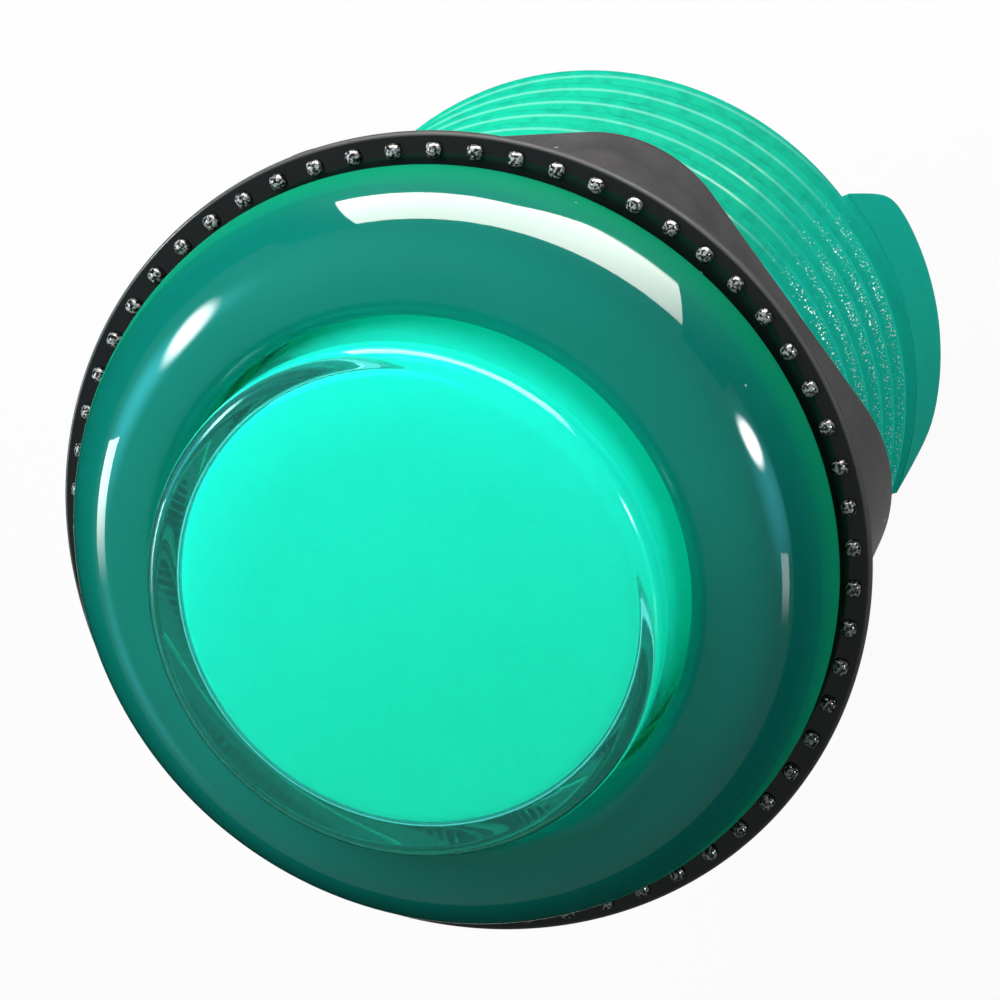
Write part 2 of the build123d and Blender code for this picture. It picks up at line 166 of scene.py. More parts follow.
def ear_bottom(angle):
    """Height of the barrel's rear edge, which drops to the ears' tips on X with rounded corners."""
    off = abs(sin(angle)) * thread_r
    gap = (off - ear_tip_w / 2) * ear_length / ((ear_root_w - ear_tip_w) / 2)
    return min(barrel_end, ear_tip + (gap + hypot(gap, ear_corner)) / 2)


def body_section(angle):
    """One closed section of the body: over the lip and the dome, down the barrel and up the bore."""
    bottom = ear_bottom(angle)
    in_ear = bottom < barrel_end - weld
    section = []
    for t in steps(0, pi / 2, lip_steps):
        section.append((crest_r - lip_r * cos(t), bezel_top - lip_r + lip_r * sin(t)))
    for t in steps(0, pi / 2, dome_steps)[1:]:
        section.append((crest_r + dome_w * sin(t), rim_edge + (bezel_top - rim_edge) * cos(t)))
    for t in steps(0, pi / 2, edge_steps):
        section.append((rim_r - moulded_edge * (1 - cos(t)), moulded_edge * (1 - sin(t))))
    section.append((thread_r + moulded_edge, 0))
    helix = groove_start + thread_pitch * angle / tau
    for turn in range(thread_turns, -2, -1):
        for offset in groove_offsets:
            z = helix + turn * thread_pitch + offset * mm
            z = min(0, max(z, barrel_end + lead_in))
            section.append((thread_radius(angle, z), z))
    for t in (0.5, 1):
        z = barrel_end + lead_in * (1 - t)
        chamfer_r = thread_r if in_ear else thread_r - lead_in * t
        section.append((min(thread_radius(angle, z), chamfer_r), z))
    tip_r = thread_r if in_ear else section[-1][0]
    tip_edge = min(moulded_edge, (barrel_end - bottom) / 2)
    for t in steps(0, 1, 5):
        section.append((tip_r, barrel_end + (bottom + tip_edge - barrel_end) * t))
    section.append((tip_r - 0.3 * tip_edge, bottom + 0.3 * tip_edge))
    section.append((tip_r - tip_edge, bottom))
    in_groove = ear_groove_low < bottom < ear_groove_high
    bore = (
        (bore_r, bottom),
        (bore_r, ear_groove_low),
        (bore_r + ear_groove_depth, ear_groove_low),
        (bore_r + ear_groove_depth, ear_groove_high),
        (bore_r, ear_groove_high),
        (bore_r, barrel_end),
        (bore_r, shoulder_z),
        (opening_r, shoulder_z),
    )
    for r, z in bore:
        if z <= bottom:
            r = bore_r + ear_groove_depth if in_groove else bore_r
        section.append((r, max(z, bottom)))
    return section


body_mesh = bmesh.new()
body_columns = 288
ear_spread = radians(32)
body_angles = []
for k in range(body_columns):
    angle = tau * k / body_columns
    body_angles.append(angle)
    if abs(sin(angle)) < sin(ear_spread):
        body_angles.append(angle + tau / body_columns / 2)
body_angles.append(tau)
add_skin(body_mesh, [[around(a, r, z) for r, z in body_section(a)] for a in body_angles])
body_moulding = make_piece("body_moulding", body_mesh, crease=50)


class Shade:
    """A socket of a material's nodes. Operators on it add Math nodes."""

    def __init__(self, socket):
        self.socket = socket

    def node(self, kind, settings=None, inputs=None, output=0):
        """Adds a node to this socket's tree, sets it up, feeds its inputs and gives one of its outputs."""
        tree = self.socket.id_data
        made = tree.nodes.new("ShaderNode" + kind)
        for name, value in (settings or {}).items():
            setattr(made, name, value)
        for name, value in (inputs or {}).items():
            if isinstance(value, Shade):
                tree.links.new(value.socket, made.inputs[name])
            else:
                made.inputs[name].default_value = value
        return Shade(made.outputs[output])

    def feed(self, source):
        """Links another socket's output into this input."""
        self.socket.id_data.links.new(source.socket, self.socket)

    def maths(self, operation, *values):
        """Adds a Math node of that operation on these values."""
        return self.node("Math", {"operation": operation}, dict(enumerate(values)))

    def __add__(self, other):
        return self.maths("ADD", self, other)

    __radd__ = __add__

    def __sub__(self, other):
        return self.maths("SUBTRACT", self, other)

    def __rsub__(self, other):
        return self.maths("SUBTRACT", other, self)

    def __mul__(self, other):
        return self.maths("MULTIPLY", self, other)

    __rmul__ = __mul__

    def __truediv__(self, other):
        return self.maths("DIVIDE", self, other)

    def __gt__(self, other):
        return self.maths("GREATER_THAN", self, other)

    def __lt__(self, other):
        return self.maths("LESS_THAN", self, other)

    def rise(self, low, high):
        """0 up to low, 1 from high on, smooth between them."""
        return self.node("MapRange", {"interpolation_type": "SMOOTHSTEP"}, {0: self, 1: low, 2: high})

    def toward(self, azimuth):
        """How far a place lies from the button's axis in that direction, in degrees round it."""
        way = {0: self, 1: around(radians(azimuth), 1, 0)}
        return self.node("VectorMath", {"operation": "DOT_PRODUCT"}, way, output="Value")

    def height(self):
        """How high a place lies on the button's axis."""
        return self.node("SeparateXYZ", inputs={"Vector": self}, output="Z")

    def off_axis(self):
        """How far a place lies from the button's axis."""
        level = self.node("VectorMath", {"operation": "MULTIPLY"}, {0: self, 1: (1, 1, 0)})
        return self.node("VectorMath", {"operation": "LENGTH"}, {0: level}, output="Value")

    def apart(self, point):
        """How far a place lies from that point."""
        return self.node("VectorMath", {"operation": "DISTANCE"}, {0: self, 1: point}, output="Value")

    def between(self, first, second):
        """A colour from first, where this is 0, to second, where it is 1."""
        return self.node("Mix", {"data_type": "RGBA"}, {0: self, 6: first, 7: second}, output=2)


def new_finish(name):
    """A new material, with its surface input and its object coordinates in metres."""
    material = bpy.data.materials.new(name)
    material.use_nodes = True
    material.node_tree.nodes.clear()
    surface = Shade(material.node_tree.nodes.new("ShaderNodeOutputMaterial").inputs["Surface"])
    return material, surface, surface.node("TexCoord", output="Object")


def speckle(place, size, detail=2.0):
    """Soft noise from 0 to 1 whose blobs are about that size."""
    return place.node("TexNoise", inputs={"Vector": place, "Scale": 1 / size, "Detail": detail})


def dust(place, spacing, size, share):
    """1 on small round specks, on that share of cells of that spacing."""
    cells = {"Vector": place, "Scale": 1 / spacing}
    near = place.node("TexVoronoi", inputs=cells)
    pick = place.node("TexVoronoi", inputs=cells, output="Color")
    chosen = place.node("SeparateColor", inputs={"Color": pick})
    return (near < size / spacing) * (chosen < share)


green_bezel = (0.002, 0.235, 0.18, 1)
green_bezel_pale = (0.003, 0.275, 0.215, 1)
painted_glow_green = (0.004, 0.40, 0.20, 1)
green_shaded = (0.002, 0.125, 0.11, 1)
green_barrel = (0.008, 0.62, 0.38, 1)
green_barrel_pale = (0.012, 0.72, 0.45, 1)
green_frosted = (0.012, 0.64, 0.53, 1)
dark_mottle_and_groove_shade_green = (0.002, 0.17, 0.12, 1)
green_ear = (0.006, 0.40, 0.31, 1)
painted_crest_highlight_green = (0.30, 0.95, 0.80, 1)
speck_green = (0.4, 0.75, 0.65, 1)
glint_green = (0.75, 1.0, 0.96, 1)
clear_green, surface, place = new_finish("clear_green_plastic")
height = place.height()
cloud = speckle(place, 7 * mm)
specks = dust(place, 1.6 * mm, 0.06 * mm, 0.12)
# Painted glow: the bezel's rim below the dome is painted a brighter green, as if lit through its clear
# edge. Painted shade: a band on the dome's flank is painted darker.
painted_rim_glow = height.rise(3.2 * mm, 0.5 * mm)
rim_shade = height.rise(4.8 * mm, 4.0 * mm) * height.rise(2.6 * mm, 3.4 * mm)
bezel_tone = painted_rim_glow.between(cloud.between(green_bezel, green_bezel_pale), painted_glow_green)
bezel_tone = (0.2 * rim_shade).between(bezel_tone, green_shaded)
polished = surface.node(
    "BsdfPrincipled",
    inputs={
        "Base Color": specks.between(bezel_tone, speck_green),
        "Roughness": 0.29 + 0.05 * cloud,
        "IOR": 1.15,
        "Transmission Weight": 0.15,
        "Specular IOR Level": 0.0,
        "Coat Weight": height.rise(2.0 * mm, 2.2 * mm),
        "Coat Roughness": 0.03,
    },
)
crest_line = 0.68
ridge_line = 0.65
grain = speckle(place, 0.09 * mm, 1.0)
turns = (height - groove_start) / thread_pitch
turns = turns - surface.maths("ARCTAN2", place.toward(90), place.toward(0)) / tau
phase = surface.maths("FLOORED_MODULO", turns, 1.0)
threaded = height.rise(barrel_end, barrel_end + 1.2 * mm)
# Painted highlight: a thin pale line along each thread crest's upper edge is painted into the base colour.
# The coat on the same line adds a real gloss as well.
crest_highlight_line = surface.maths("ABSOLUTE", phase - crest_line).rise(0.036, 0.012) * threaded
ridge = surface.maths("ABSOLUTE", phase - ridge_line).rise(0.15, 0.04)
# Painted shade: the bottoms of the thread's groove are painted a darker green, where shade falls. The same
# dark green also marks the barrel's random mottling.
groove_shade = surface.maths("ABSOLUTE", phase - 0.5).rise(0.41, 0.48) * threaded
frosted = surface.maths("ABSOLUTE", place.toward(0)).rise(0.68 * thread_r, 0.92 * thread_r)
glitter = (grain + (0.14 + 0.13 * ridge) * frosted * threaded).rise(0.88, 0.95)
mottled = speckle(place, 0.7 * mm, 4.0).rise(0.42, 0.7)
barrel_tone = cloud.between(green_barrel, green_barrel_pale)
barrel_tone = (0.24 * mottled).between(barrel_tone, dark_mottle_and_groove_shade_green)
barrel_tone = (0.6 * frosted).between(barrel_tone, green_frosted)
barrel_tone = (0.6 * (1 - threaded)).between(barrel_tone, green_ear)
barrel_tone = (0.75 * groove_shade).between(barrel_tone, dark_mottle_and_groove_shade_green)
barrel_tone = (0.48 * crest_highlight_line * (1 - frosted)).between(barrel_tone, painted_crest_highlight_green)
grained = surface.node(
    "BsdfPrincipled",
    inputs={
        "Base Color": glitter.between(barrel_tone, glint_green),
        "Metallic": glitter,
        "Roughness": 0.3 + 0.1 * grain,
        "IOR": 1.2,
        "Transmission Weight": 0.05,
        "Specular IOR Level": 0.0,
        "Coat Weight": 0.4 * crest_highlight_line * (1 - frosted),
        "Coat Roughness": 0.12,
        "Normal": surface.node("Bump", inputs={"Strength": 0.2, "Distance": 0.01 * mm, "Height": grain}),
    },
)
barrel = height.rise(0.2 * mm, -0.6 * mm)
surface.feed(surface.node("MixShader", inputs={0: barrel, 1: polished, 2: grained}))
body_moulding.data.materials.append(clear_green)
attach(body_moulding, "housing")
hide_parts("body")

# Plunger cap: the clear button top that the finger presses, moulded in polished acrylic with a rounded
# edge. It drops over the diffuser and clips to the carrier.
cap_low, cap_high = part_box("plunger_cap")
cap_r = cap_high.x
cap_top = cap_high.z
cap_foot = cap_low.z
cap_wall = 1.0 * mm
cap_roof = 1.8 * mm
cap_bore_r = cap_r - cap_wall
cap_ceiling = cap_top - cap_roof
cap_edge_r = 0.7 * mm
cap_inner_r = 0.5 * mm
cap_foot_r = 0.15 * mm
lathe_columns = 192


def rounded(corners, count=8):
    """A section's points from its corners (radius, height, rounding), each rounding drawn as an arc."""
    points = []
    for k, (r, z, rounding) in enumerate(corners):
        corner = Vector((r, z))
        before = Vector(corners[k - 1][:2]) - corner
        after = Vector(corners[(k + 1) % len(corners)][:2]) - corner
        if rounding == 0 or before.length == 0 or after.length == 0:
            points.append((r, z))
            continue
        half = before.angle(after) / 2
        bisector = (before.normalized() + after.normalized()).normalized()
        centre = corner + bisector * (rounding / sin(half))
        start = corner + before.normalized() * (rounding / tan(half)) - centre
        end = corner + after.normalized() * (rounding / tan(half)) - centre
        sweep = start.angle_signed(end)
        for t in steps(0, sweep, count):
            arm = Matrix.Rotation(-t, 2) @ start
            points.append(tuple(centre + arm))
    return points


def turned(name, section, columns=lathe_columns, crease=40):
    """A piece turned round the button's axis from a closed section of (radius, height) points."""
    bm = bmesh.new()
    add_skin(bm, [[around(a, r, z) for r, z in section] for a in steps(0, tau, columns)])
    return make_piece(name, bm, crease)


cap_section = rounded(
    (
        (0, cap_top, 0),
        (cap_r, cap_top, cap_edge_r),
        (cap_r, cap_foot, cap_foot_r),
        (cap_bore_r, cap_foot, cap_foot_r),
        (cap_bore_r, cap_ceiling, cap_inner_r),
        (0, cap_ceiling, 0),
    ),
    count=12,
)
cap_moulding = turned("cap_moulding", cap_section)
clear_cap, surface, place = new_finish("clear_cap_plastic")
handling = speckle(place, 2.5 * mm, 4.0)
surface.feed(
    surface.node(
        "BsdfPrincipled",
        inputs={
            "Base Color": handling.between((0.10, 0.94, 0.86, 1), (0.14, 0.97, 0.90, 1)),
            "Roughness": 0.012 + 0.02 * handling,
            "IOR": 1.49,
            "Transmission Weight": 0.92,
            "Specular Tint": (0.45, 0.9, 0.9, 1),
        },
    )
)
cap_moulding.data.materials.append(clear_cap)
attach(cap_moulding, "plunger")
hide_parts("plunger_cap")

# Diffuser: a milky mint cup moulded in light-scattering plastic. It sits inside the cap, and its flat
# top is the bright disc of the button.
diffuser_low, diffuser_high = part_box("diffuser")
diffuser_r = diffuser_high.x
diffuser_wall = 0.9 * mm
diffuser_roof = 1.0 * mm
diffuser_bore_r = diffuser_r - diffuser_wall
diffuser_ceiling = diffuser_high.z - diffuser_roof
diffuser_section = rounded(
    (
        (0, diffuser_high.z, 0),
        (diffuser_r, diffuser_high.z, 0.6 * mm),
        (diffuser_r, diffuser_low.z, 0.1 * mm),
        (diffuser_bore_r, diffuser_low.z, 0.1 * mm),
        (diffuser_bore_r, diffuser_ceiling, 0.3 * mm),
        (0, diffuser_ceiling, 0),
    )
)
diffuser_cup = turned("diffuser_cup", diffuser_section)
mint_painted_shade = (0.010, 0.78, 0.48, 1)
mint_clear = (0.010, 0.86, 0.68, 1)
mint_hazy = (0.012, 0.92, 0.75, 1)
mint_painted_edge_light = (0.012, 0.97, 0.87, 1)
# Painted glow: the diffuser emits light of its own, more on its skirt than on its disc, though the
# button's lamp is dark. It stands in for light coming through the clear cap.
glow_disc = (0.002, 0.345, 0.245, 1)
glow_skirt = (0.003, 0.50, 0.32, 1)
mint, surface, place = new_finish("mint_diffuser_plastic")
height = place.height()
haze = speckle(place, 6 * mm)
fine = speckle(place, 0.25 * mm)
# Painted light: the disc is painted paler towards its edge, as if more light reached it there.
painted_edge_light = place.off_axis().rise(0.55 * diffuser_r, 0.98 * diffuser_r)
# Painted light and shade: the disc is painted paler towards one side and a deeper mint towards the other,
# as if the key light fell across it.
painted_light_side = place.toward(100).rise(-diffuser_r, 0.8 * diffuser_r)
skirt = height.rise(diffuser_high.z - 0.3 * mm, diffuser_high.z - 0.9 * mm)
mint_tone = haze.between(mint_clear, mint_hazy)
mint_tone = painted_edge_light.between(mint_tone, mint_painted_edge_light)
surface.feed(
    surface.node(
        "BsdfPrincipled",
        inputs={
            "Base Color": painted_light_side.between(mint_painted_shade, mint_tone),
            "Roughness": 0.45 + 0.15 * fine,
            "Emission Color": skirt.between(glow_disc, glow_skirt),
            "Emission Strength": 1.0,
            "Normal": surface.node(
                "Bump", inputs={"Strength": 0.2, "Distance": 0.01 * mm, "Height": fine}
            ),
        },
    )
)
diffuser_cup.data.materials.append(mint)
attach(diffuser_cup, "plunger")
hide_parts("diffuser")

# Plunger carrier: the white moulding behind the cap. Its flange stops under the bezel's shoulder, its
# collar centres the spring, and its long leg works the switch.
white_edge = 0.15 * mm


def eased(name, node, edge, segments=2):
    """A copy of a CAD node's mesh whose sharp edges are rounded, as a mould or a press leaves them."""
    bm = bmesh.new()
    bm.from_mesh(frame["nodes"][node].data)
    bmesh.ops.remove_doubles(bm, verts=bm.verts, dist=weld)
    bmesh.ops.dissolve_limit(bm, angle_limit=radians(1), verts=bm.verts, edges=bm.edges)
    mesh = bpy.data.meshes.new(name)
    bm.to_mesh(mesh)
    bm.free()
    mesh.shade_smooth()
    piece = bpy.data.objects.new(name, mesh)
    bpy.context.scene.collection.objects.link(piece)
    bevel = piece.modifiers.new("eased_edges", "BEVEL")
    bevel.width = edge
    bevel.segments = segments
    bevel.limit_method = "ANGLE"
    bevel.angle_limit = radians(30)
    bevel.harden_normals = True
    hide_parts(node)
    return piece


carrier_moulding = eased("carrier_moulding", "plunger_carrier", white_edge)
white_plastic, surface, place = new_finish("white_plastic")
flow = speckle(place, 5 * mm)
texture = speckle(place, 0.12 * mm)
surface.feed(
    surface.node(
        "BsdfPrincipled",
        inputs={
            "Base Color": flow.between((0.80, 0.81, 0.78, 1), (0.87, 0.87, 0.85, 1)),
            "Roughness": 0.36 + 0.16 * texture,
            "Normal": surface.node(
                "Bump", inputs={"Strength": 0.25, "Distance": 0.01 * mm, "Height": texture}
            ),
        },
    )
)
carrier_moulding.data.materials.append(white_plastic)
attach(carrier_moulding, "plunger")

# Return spring: round steel wire coiled round the lamp tube, between the holder's boss and the
# carrier. It shortens as the plunger goes down; here it is built only as it stands at rest.
spring_low, spring_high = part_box("return_spring")
wire_r = 0.3 * mm
spring_r = (spring_high.x - spring_low.x) / 2 - wire_r
spring_turns = 4.5
coil_steps = 216
wire_sides = 10
press = next(joint for joint in frame["joints"] if joint["name"] == "plunger_press")
press_travel = press["range_m"][1]
boss_top = press["deforming_nodes"][0]["fixed_end_z_m"]
upward = Vector((0, 0, 1))
coil_mesh = bmesh.new()
coil_rings = []
for t in steps(0, 1, coil_steps):
    outward = around(tau * spring_turns * t, 1, 0)
    middle = outward * spring_r
    middle.z = spring_low.z + wire_r + (spring_high.z - spring_low.z - 2 * wire_r) * t
    wire_ring = [outward * cos(s) + upward * sin(s) for s in steps(0, tau, wire_sides)[1:]]
    coil_rings.append([middle + arm * wire_r for arm in wire_ring])
add_skin(coil_mesh, coil_rings, capped=True)
spring_coil = make_piece("spring_coil", coil_mesh)
spring_steel, surface, place = new_finish("spring_steel")
drawn = speckle(place, 0.3 * mm)
surface.feed(
    surface.node(
        "BsdfPrincipled",
        inputs={
            "Base Color": drawn.between((0.50, 0.51, 0.53, 1), (0.66, 0.66, 0.68, 1)),
            "Metallic": 1.0,
            "Roughness": 0.22 + 0.2 * drawn,
        },
    )
)
spring_coil.data.materials.append(spring_steel)
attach(spring_coil, "housing")
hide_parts("return_spring")
spring_free = spring_high.z - boss_top
(spring_free - press_travel) / spring_free
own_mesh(spring_coil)

# Lamp holder: a white moulding that closes the barrel's rear. Two barbs snap into the ears, a tube
# holds the lamp, and a bracket with two pegs carries the switch.
lug_r = 13.15 * mm
lug_low = barrel_end - 1.5 * mm
holder_moulding = eased("holder_moulding", "lamp_holder", white_edge)
for vert in holder_moulding.data.vertices:
    trim = min(1, lug_r / hypot(vert.co.x, vert.co.y, weld))
    if vert.co.z > lug_low:
        vert.co.x *= trim
        vert.co.y *= trim
holder_moulding.data.materials.append(white_plastic)
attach(holder_moulding, "housing")

# Lamp: a wedge base pushed into the holder's tube, with a clear epoxy lens on top and two tinned
# leads folded up its sides, gripped by two stamped brass blades that end in tabs behind the plate.
lens_low, lens_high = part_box("lamp_lens")
lens_flange_r = lens_high.x
lens_r = 2.5 * mm
lens_seat = lens_low.z + 1.0 * mm
lens_section = rounded(
    (
        (0, lens_high.z, 0),
        (lens_r, lens_high.z, 0.98 * lens_r),
        (lens_r, lens_seat, 0.1 * mm),
        (lens_flange_r, lens_seat, 0.15 * mm),
        (lens_flange_r, lens_low.z, 0.1 * mm),
        (0, lens_low.z, 0),
    )
)
lamp_bulb = turned("lamp_bulb", lens_section, columns=64)
lamp_epoxy, surface, place = new_finish("lamp_epoxy")
cure = speckle(place, 1.2 * mm)
surface.feed(
    surface.node(
        "BsdfPrincipled",
        inputs={
            "Base Color": cure.between((0.90, 0.93, 0.93, 1), (0.97, 0.98, 0.98, 1)),
            "Roughness": 0.03 + 0.05 * cure,
            "IOR": 1.53,
            "Transmission Weight": 0.9,
        },
    )
)
lamp_bulb.data.materials.append(lamp_epoxy)
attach(lamp_bulb, "housing")
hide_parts("lamp_lens")

lamp_wedge = eased("lamp_wedge", "lamp_base", white_edge)
lamp_wedge.data.materials.append(white_plastic)
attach(lamp_wedge, "housing")

tinned_wire, surface, place = new_finish("tinned_wire")
ripple = speckle(place, 0.4 * mm)
surface.feed(
    surface.node(
        "BsdfPrincipled",
        inputs={
            "Base Color": ripple.between((0.66, 0.66, 0.65, 1), (0.80, 0.80, 0.79, 1)),
            "Metallic": 1.0,
            "Roughness": 0.2 + 0.2 * ripple,
        },
    )
)
lamp_wires = eased("lamp_wires", "lamp_leads", 0.12 * mm)
lamp_wires.data.materials.append(tinned_wire)
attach(lamp_wires, "housing")

blade_edge = 0.08 * mm
tinned_brass, surface, place = new_finish("tinned_brass")
tarnish = speckle(place, 1.5 * mm, 4.0)
rolled = surface.node("VectorMath", {"operation": "MULTIPLY"}, {0: place, 1: (1, 1, 0.08)})
streaks = speckle(rolled, 0.08 * mm)
surface.feed(
    surface.node(
        "BsdfPrincipled",
        inputs={
            "Base Color": tarnish.between((0.62, 0.59, 0.53, 1), (0.80, 0.78, 0.74, 1)),
            "Metallic": 1.0,
            "Roughness": 0.24 + 0.14 * tarnish + 0.08 * streaks,
            "Normal": surface.node(
                "Bump", inputs={"Strength": 0.3, "Distance": 0.005 * mm, "Height": streaks}
            ),
        },
    )
)
for side in ("left", "right"):
    lamp_blade = eased("lamp_blade_" + side, "lamp_contact_" + side, blade_edge)
    lamp_blade.data.materials.append(tinned_brass)
    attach(lamp_blade, "housing")

# Switch: a snap-action switch pressed on the bracket's pegs. Case and cover are black glass-filled
# nylon welded together, the button is red, and three tinned blades come out of its floor.
case_edge = 0.2 * mm
black_switch, surface, place = new_finish("black_switch_plastic")
fibre = surface.node("VectorMath", {"operation": "MULTIPLY"}, {0: place, 1: (0.25, 1, 1)})
fibres = speckle(fibre, 0.15 * mm, 3.0)
surface.feed(
    surface.node(
        "BsdfPrincipled",
        inputs={
            "Base Color": fibres.between((0.012, 0.012, 0.013, 1), (0.028, 0.028, 0.03, 1)),
            "Roughness": 0.34 + 0.22 * fibres,
            "Normal": surface.node(
                "Bump", inputs={"Strength": 0.35, "Distance": 0.015 * mm, "Height": fibres}
            ),
        },
    )
)
for name, node in (("case_shell", "switch_case"), ("case_lid", "switch_cover")):
    case_half = eased(name, node, case_edge)
    case_half.data.materials.append(black_switch)
    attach(case_half, "housing")

red_switch, surface, place = new_finish("red_switch_plastic")
flecks = speckle(place, 0.2 * mm)
surface.feed(
    surface.node(
        "BsdfPrincipled",
        inputs={
            "Base Color": flecks.between((0.50, 0.018, 0.014, 1), (0.62, 0.03, 0.022, 1)),
            "Roughness": 0.3 + 0.15 * flecks,
        },
    )
)
stem_trim = 1.02 * mm
push_stem = eased("push_stem", "switch_button", 0.15 * mm)
stem_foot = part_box("switch_button")[0].z + stem_trim
for vert in push_stem.data.vertices:
    vert.co.z = max(vert.co.z, stem_foot)
push_stem.data.materials.append(red_switch)
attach(push_stem, "actuator")

for way in ("common", "normally_open", "normally_closed"):
    switch_tab = eased(way + "_tab", way + "_terminal", blade_edge)
    switch_tab.data.materials.append(tinned_brass)
    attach(switch_tab, "housing")

spring_bronze, surface, place = new_finish("spring_bronze")
grainline = speckle(place, 0.3 * mm)
surface.feed(
    surface.node(
        "BsdfPrincipled",
        inputs={
            "Base Color": grainline.between((0.52, 0.31, 0.16, 1), (0.66, 0.42, 0.24, 1)),
            "Metallic": 1.0,
            "Roughness": 0.25 + 0.15 * grainline,
        },
    )
)
silver, surface, place = new_finish("silver_contact")
polish = speckle(place, 0.2 * mm)
surface.feed(
    surface.node(
        "BsdfPrincipled",
        inputs={
            "Base Color": polish.between((0.80, 0.79, 0.76, 1), (0.92, 0.91, 0.88, 1)),
            "Metallic": 1.0,
            "Roughness": 0.15 + 0.15 * polish,
        },
    )
)
snap_leaf = eased("snap_leaf", "snap_blade", 0.03 * mm, segments=1)
snap_leaf.data.materials.append(spring_bronze)
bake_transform(snap_leaf)
fixed_rivets = eased("fixed_rivets", "fixed_contacts", blade_edge)
fixed_rivets.data.materials.append(silver)
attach(fixed_rivets, "housing")
moving_rivet = eased("moving_rivet", "moving_contact", blade_edge)
moving_rivet.data.materials.append(silver)
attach(moving_rivet, "contact")

# Mounting nut: black moulded nylon, run up the barrel behind the panel. Its thin round flange is glossy
# and carries a ring of small studs that bite the panel; a satin skirt blends it into the hex flats.
nut_low, nut_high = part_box("mounting_nut")
stud_h = 0.45 * mm
stud_w = 0.8 * mm
stud_count = 60
stud_sides = 16
flange_r = nut_high.x
flange_h = 0.4 * mm
flange_front = nut_high.z - stud_h
flange_back = flange_front - flange_h
flange_edge = 0.15 * mm
nut_rear = nut_low.z
nut_play = 0.15 * mm
nut_wall = 1.45 * mm
nut_bore_r = thread_r + nut_play
nut_flat_r = nut_bore_r + nut_wall
nut_corner_r = 6.0 * mm
nut_turn = radians(-2.5)
nut_chamfer = 0.3 * mm
skirt_h = 5.0 * mm
skirt_lean = (flange_r - nut_flat_r + 0.3 * mm) / skirt_h
stud_ring_r = flange_r - 0.7 * mm
nut_columns = 360


def hex_radius(angle):
    """Radius of the nut's hexagon with rounded corners."""
    inner = nut_flat_r - nut_corner_r
    off = abs((angle - nut_turn) % (pi / 3) - pi / 6)
    if tan(off) * nut_flat_r <= inner * tan(pi / 6):
        return nut_flat_r / cos(off)
    lean = pi / 6 - off
    centre = inner / cos(pi / 6)
    return centre * cos(lean) + sqrt(nut_corner_r ** 2 - (centre * sin(lean)) ** 2)


def nut_section(angle):
    """One closed section of the nut: bore, flange front and edge, skirt, flat and rear."""
    flat_r = hex_radius(angle)
    skirt_foot = flange_back - (flange_r - flat_r) / skirt_lean
    return rounded(
        (
            (nut_bore_r, flange_front, 0.2 * mm),
            (flange_r, flange_front, flange_edge),
            (flange_r, flange_back, 0.1 * mm),
            (flat_r, skirt_foot, 0.5 * mm),
            (flat_r, nut_rear + nut_chamfer, 0.12 * mm),
            (flat_r - nut_chamfer, nut_rear, 0.12 * mm),
            (nut_bore_r, nut_rear, 0.2 * mm),
        ),
        count=4,
    )


nut_mesh = bmesh.new()
add_skin(nut_mesh, [[around(a, r, z) for r, z in nut_section(a)] for a in steps(0, tau, nut_columns)])
stud_profile = [(0.9 * sin(t), cos(t)) for t in steps(0, pi / 2, 5)] + [(0.9, -0.15), (0, -0.15)]
for k in range(stud_count):
    angle = tau * k / stud_count
    outward = around(angle, 1, 0)
    sideways = around(angle + pi / 2, 1, 0)
    stud_loops = []
    for s in steps(0, tau, stud_sides):
        squarish = (abs(cos(s)) ** 3 + abs(sin(s)) ** 3) ** (-1 / 3)
        arm = (outward * cos(s) + sideways * sin(s)) * squarish * stud_w / 2
        foot = around(angle, stud_ring_r, flange_front)
        stud_loops.append([foot + arm * w + upward * h * stud_h for w, h in stud_profile])
    add_skin(nut_mesh, stud_loops)
nut_moulding = make_piece("nut_moulding", nut_mesh)
nut_black = (0.005, 0.007, 0.007, 1)
nut_black_pale = (0.009, 0.012, 0.012, 1)
nut_grey = (0.009, 0.0085, 0.010, 1)
nut_grey_pale = (0.028, 0.027, 0.031, 1)
nut_edge_highlight_grey = (0.09, 0.092, 0.092, 1)
nut_painted_glint_grey = (0.42, 0.43, 0.43, 1)
lint_grey = (0.45, 0.46, 0.45, 1)
black_nut, surface, place = new_finish("black_nut_plastic")
height = place.height()
satin = height.rise(flange_front - 0.003 * mm, flange_front - 0.04 * mm)
mottle = speckle(place, 2 * mm, 5.0)
pits = speckle(place, 0.14 * mm)
# Painted highlight: the studs' tops are painted a patchy light grey, standing in for glints on them.
stud_glint = height.rise(flange_front + 0.06 * mm, flange_front + 0.26 * mm) * pits.rise(0.44, 0.6)
lint = dust(place, 1.1 * mm, 0.09 * mm, 0.22)
# Painted highlight: a thin light grey line is painted round the flange's outer front edge, where a lamp
# would catch the rounded edge.
flange_edge_highlight = place.off_axis().rise(flange_r - 0.16 * mm, flange_r - 0.05 * mm)
flange_edge_highlight = flange_edge_highlight * height.rise(flange_front - 0.3 * mm, flange_front - 0.1 * mm)
black = mottle.between(nut_black, nut_black_pale)
grey = mottle.rise(0.3, 0.7).between(nut_grey, nut_grey_pale)
black_tone = flange_edge_highlight.between(satin.between(black, grey), nut_edge_highlight_grey)
black_tone = stud_glint.between(black_tone, nut_painted_glint_grey)
surface.feed(
    surface.node(
        "BsdfPrincipled",
        inputs={
            "Base Color": lint.between(black_tone, lint_grey),
            "Roughness": 0.08 + 0.05 * mottle + satin * (0.34 + 0.12 * pits),
            "Specular IOR Level": 0.14,
            "Coat Weight": 1 - satin,
            "Coat Roughness": 0.06,
            "Normal": surface.node(
                "Bump", inputs={"Strength": 0.5, "Distance": 0.015 * mm, "Height": pits * satin}
            ),
        },
    )
)
nut_moulding.data.materials.append(black_nut)
